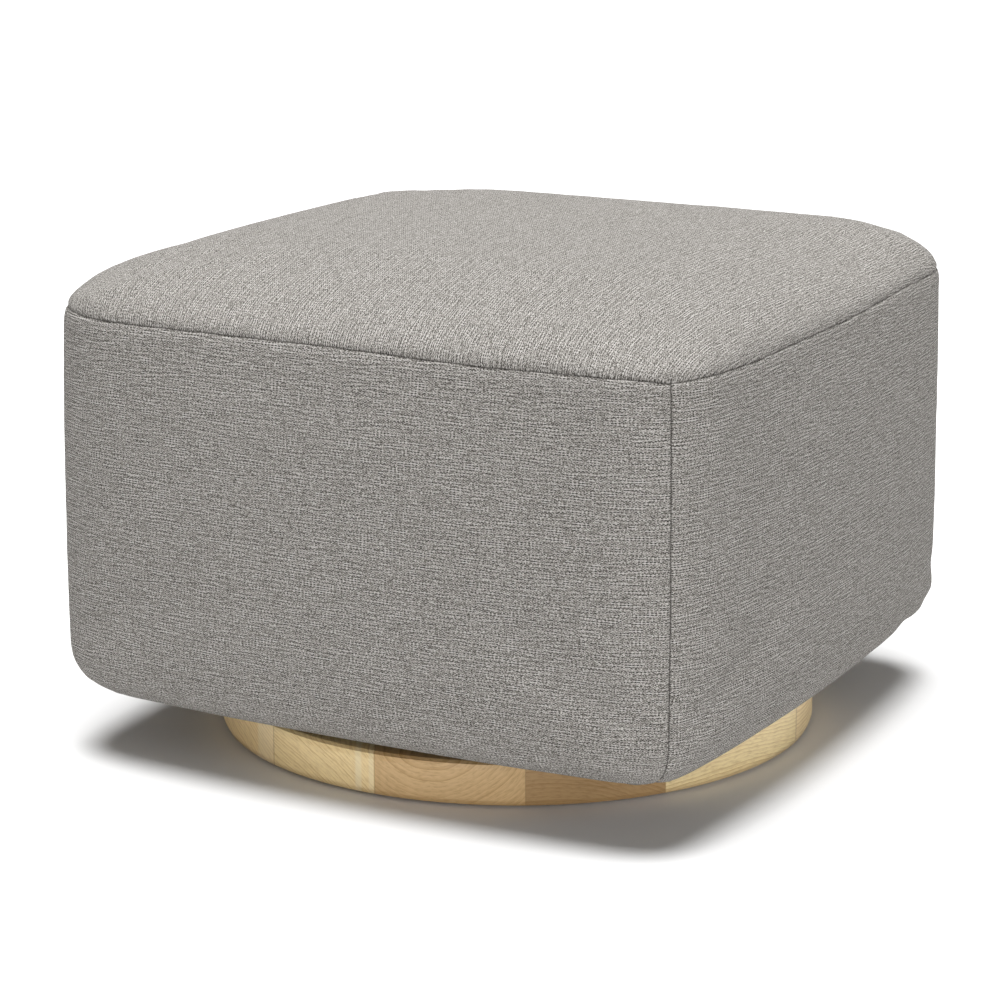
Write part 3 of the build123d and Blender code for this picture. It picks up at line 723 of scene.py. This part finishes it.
# ---- Dust cover ----
# Black spun-bonded cloth, stapled over the hems to the undersides of the boards, with two long slots that
# clear the uprights as the body glides.
dust_half = 0.238
dust_corner = hem_corner + 0.007    # from the middle to the cut corner, which laps over the hem
dust_level = 0.0443
dust_thick = 0.0004
sag, crease_height = 0.0007, 0.0004
cut_start, cut_end = 0.17, 0.23     # distances between which the sheet is drawn in to its cut corners
travel = 0.036              # of the body, to the end of its glide
slot_gap = 0.006            # from an upright's outer face, and from its ends at the ends of the glide
slot_width = 0.029
upright_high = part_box("right_upright")[1]
slot_to = round(upright_high.x + slot_gap, 4)
slot_from = slot_to - slot_width
slot_half = round(upright_high.y + travel + slot_gap, 4)
lines = list(np.linspace(-dust_half, dust_half, 50))
lines_x = sorted(lines + [-slot_to, -slot_from, slot_from, slot_to])
lines_y = sorted(lines + [-slot_half, slot_half])
points = []
for y in lines_y:
    for x in lines_x:
        square = max(abs(x), abs(y))
        inward = 1 - square / dust_half
        crease = noise.noise(Vector((x * 14, y * 14, 0.4))) * crease_height * min(inward * 8, 1)
        drawn_in = max(0, 1 - 2**0.5 * dust_corner * square / (dust_half * (abs(x) + abs(y))))
        drawn_in *= min(max((square - cut_start) / (cut_end - cut_start), 0), 1)
        points.append((x * (1 - drawn_in), y * (1 - drawn_in), dust_level - sag * min(inward * 6, 1) + crease))
faces = []
for row, (low_y, high_y) in enumerate(zip(lines_y, lines_y[1:])):
    for column, (low_x, high_x) in enumerate(zip(lines_x, lines_x[1:])):
        in_slot = slot_from < abs(low_x + high_x) / 2 < slot_to and abs(low_y + high_y) / 2 < slot_half
        first = row * len(lines_x) + column
        if not in_slot:
            faces.append((first, first + len(lines_x), first + len(lines_x) + 1, first + 1))
dust_sheet = new_object("dust_sheet", points, faces)
thick = dust_sheet.modifiers.new("thick", "SOLIDIFY")
thick.thickness = dust_thick
thick.offset = 1
for polygon in dust_sheet.data.polygons:
    polygon.use_smooth = True
spunbond, tree, shader = new_material("spunbond", 0.85)
bonds = put(tree, "ShaderNodeTexVoronoi", {"Vector": object_place(tree), "Scale": 900}).outputs["Distance"]
tree.links.new(ramp(tree, bonds, (0.1, (0.006, 0.006, 0.006)), (0.6, (0.02, 0.02, 0.02))),
               shader.inputs["Base Color"])
dust_sheet.data.materials.append(spunbond)
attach(dust_sheet, "seat")
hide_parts("dust_cover")

# ---- Staples ----
# Galvanised wire staples, 10 mm wide, that hold the dust cover up all round its edge.
staple_ring = 0.2345        # from the middle to the rows of staples
staple_corner = 0.09        # radius of the rows' round corners
staple_gap = 0.042
staple_size = (0.0009, 0.0009, 0.010)
staple_level = dust_level - 0.0006
staple_skew = 0.22          # how far a staple may be turned out of its row, in radians
staples, staple_in, staple_out = new_group(
    "staple_row", "GeometryNodeTree",
    {"Geometry": "Geometry", "Half width": "Float", "Gap": "Float", "Level": "Float", "Material": "Material"},
    {"Geometry": "Geometry"})
side = sum_up(staples, "MULTIPLY", staple_in.outputs["Half width"], 2)
square = put(staples, "GeometryNodeCurvePrimitiveQuadrilateral", {"Width": side, "Height": side})
rounded = put(staples, "GeometryNodeFilletCurve",
              {"Curve": square.outputs[0], "Radius": staple_corner, "Count": 6}, mode="POLY")
spots = put(staples, "GeometryNodeCurveToPoints",
            {"Curve": rounded.outputs[0], "Length": staple_in.outputs["Gap"]}, mode="LENGTH")
lift = put(staples, "ShaderNodeCombineXYZ", {"Z": staple_in.outputs["Level"]})
lifted = put(staples, "GeometryNodeSetPosition",
             {"Geometry": spots.outputs["Points"], "Offset": lift.outputs[0]})
wire = put(staples, "GeometryNodeMeshCube", {"Size": staple_size})
skew = put(staples, "FunctionNodeRandomValue",
           {"Min": (0, 0, -staple_skew), "Max": (0, 0, staple_skew), "Seed": 5}, data_type="FLOAT_VECTOR")
skewed = put(staples, "FunctionNodeEulerToRotation", {"Euler": skew.outputs["Value"]})
turned = put(staples, "FunctionNodeRotateRotation",
             {"Rotation": spots.outputs["Rotation"], "Rotate By": skewed.outputs[0]}, rotation_space="GLOBAL")
laid = put(staples, "GeometryNodeInstanceOnPoints",
           {"Points": lifted.outputs[0], "Instance": wire.outputs[0], "Rotation": turned.outputs[0]})
real = put(staples, "GeometryNodeRealizeInstances", {"Geometry": laid.outputs[0]})
painted = put(staples, "GeometryNodeSetMaterial",
              {"Geometry": real.outputs[0], "Material": staple_in.outputs["Material"]})
staples.links.new(painted.outputs[0], staple_out.inputs["Geometry"])
wire_steel, _, shader, _ = mottled("staple_wire", 0.35, 500, 2, (0.3, (0.42, 0.42, 0.43)),
                                   (0.7, (0.6, 0.6, 0.6)))
shader.inputs["Metallic"].default_value = 1
carrier = new_object("staple_carrier", [], [])
grown = carrier.modifiers.new("staples", "NODES")
grown.node_group = staples
values = {"Half width": staple_ring, "Gap": staple_gap, "Level": staple_level, "Material": wire_steel}
for socket in staples.interface.items_tree:
    if socket.in_out == "INPUT" and socket.name in values:
        grown[socket.identifier] = values[socket.name]
evaluated = carrier.evaluated_get(bpy.context.evaluated_depsgraph_get())
staple_mesh = bpy.data.meshes.new_from_object(evaluated)
bpy.data.objects.remove(carrier)
staple_piece = bpy.data.objects.new("dust_cover_staples", staple_mesh)
bpy.context.scene.collection.objects.link(staple_piece)
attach(staple_piece, "seat")

# ---- Studio ----
# A white floor in white surroundings, as for a cut-out, with a large soft light overhead and two weaker low
# ones beside the camera. The floor is paler to the camera than to the object.
floor_reach = 9
floor_lit, floor_seen = 0.68, 0.86      # the floor's tone to the object, and to the camera
lights = (                  # name, bearing and height in degrees, strength, and how wide it looks in degrees
    ("front_light", 10, 10, 0.85, 24), ("side_light", 70, 18, 0.95, 36), ("top_light", 0, 88, 5.0, 40))


def direction(bearing, height):
    """The way out from the middle at a bearing round from the front and a height, both in degrees."""
    turn, up = radians(bearing), radians(height)
    return Vector((sin(turn) * cos(up), -cos(turn) * cos(up), sin(up)))


corners = [(x * floor_reach, y * floor_reach, 0) for x, y in ((-1, -1), (1, -1), (1, 1), (-1, 1))]
floor = new_object("studio_floor", corners, [(0, 1, 2, 3)])
paper, tree, shader = new_material("paper", 1)
seen = put(tree, "ShaderNodeLightPath").outputs["Is Camera Ray"]
tree.links.new(ranged(tree, seen, start=0, end=1, low=floor_lit, high=floor_seen), shader.inputs["Base Color"])
shader.inputs["Specular IOR Level"].default_value = 0
floor.data.materials.append(paper)
world = bpy.data.worlds.new("studio")
world.use_nodes = True
bpy.context.scene.world = world
tree = world.node_tree
rays = put(tree, "ShaderNodeLightPath")
direct = sum_up(tree, "MAXIMUM", rays.outputs["Is Camera Ray"], rays.outputs["Is Transmission Ray"])
direct = sum_up(tree, "MAXIMUM", direct, rays.outputs["Is Glossy Ray"])
tree.links.new(direct, tree.nodes["Background"].inputs["Strength"])
tree.nodes["Background"].inputs["Color"].default_value = (1, 1, 1, 1)
for name, bearing, height, power, width in lights:
    lamp = bpy.data.lights.new(name, "SUN")
    lamp.energy = power
    lamp.angle = radians(width)
    lamp_object = bpy.data.objects.new(name, lamp)
    lamp_object.location = direction(bearing, height) * 3
    lamp_object.rotation_euler = direction(bearing, height).to_track_quat("Z", "Y").to_euler()
    bpy.context.scene.collection.objects.link(lamp_object)

# ---- Camera ----
# Placed by a fit of the body's outline, seams and disc to the photograph.
camera_bearing, camera_height, camera_distance = 27.97, 14.12, 2.4138
target = Vector((0, 0, 0.1884))
view_camera = bpy.data.cameras.new("photo_camera")
view_camera.sensor_width = 36
view_camera.lens = 107.07
view_camera.shift_x = -0.01733
view_camera.shift_y = -0.0135
view_camera.clip_start = 0.1
camera_object = bpy.data.objects.new("photo_camera", view_camera)
camera_object.location = target + camera_distance * direction(camera_bearing, camera_height)
camera_object.rotation_euler = (target - camera_object.location).to_track_quat("-Z", "Y").to_euler()
bpy.context.scene.collection.objects.link(camera_object)
bpy.context.scene.camera = camera_object
bpy.context.scene.view_settings.view_transform = "Standard"
bpy.context.scene.cycles.denoising_prefilter = "NONE"     # keeps the weave, which is as fine as the pixels
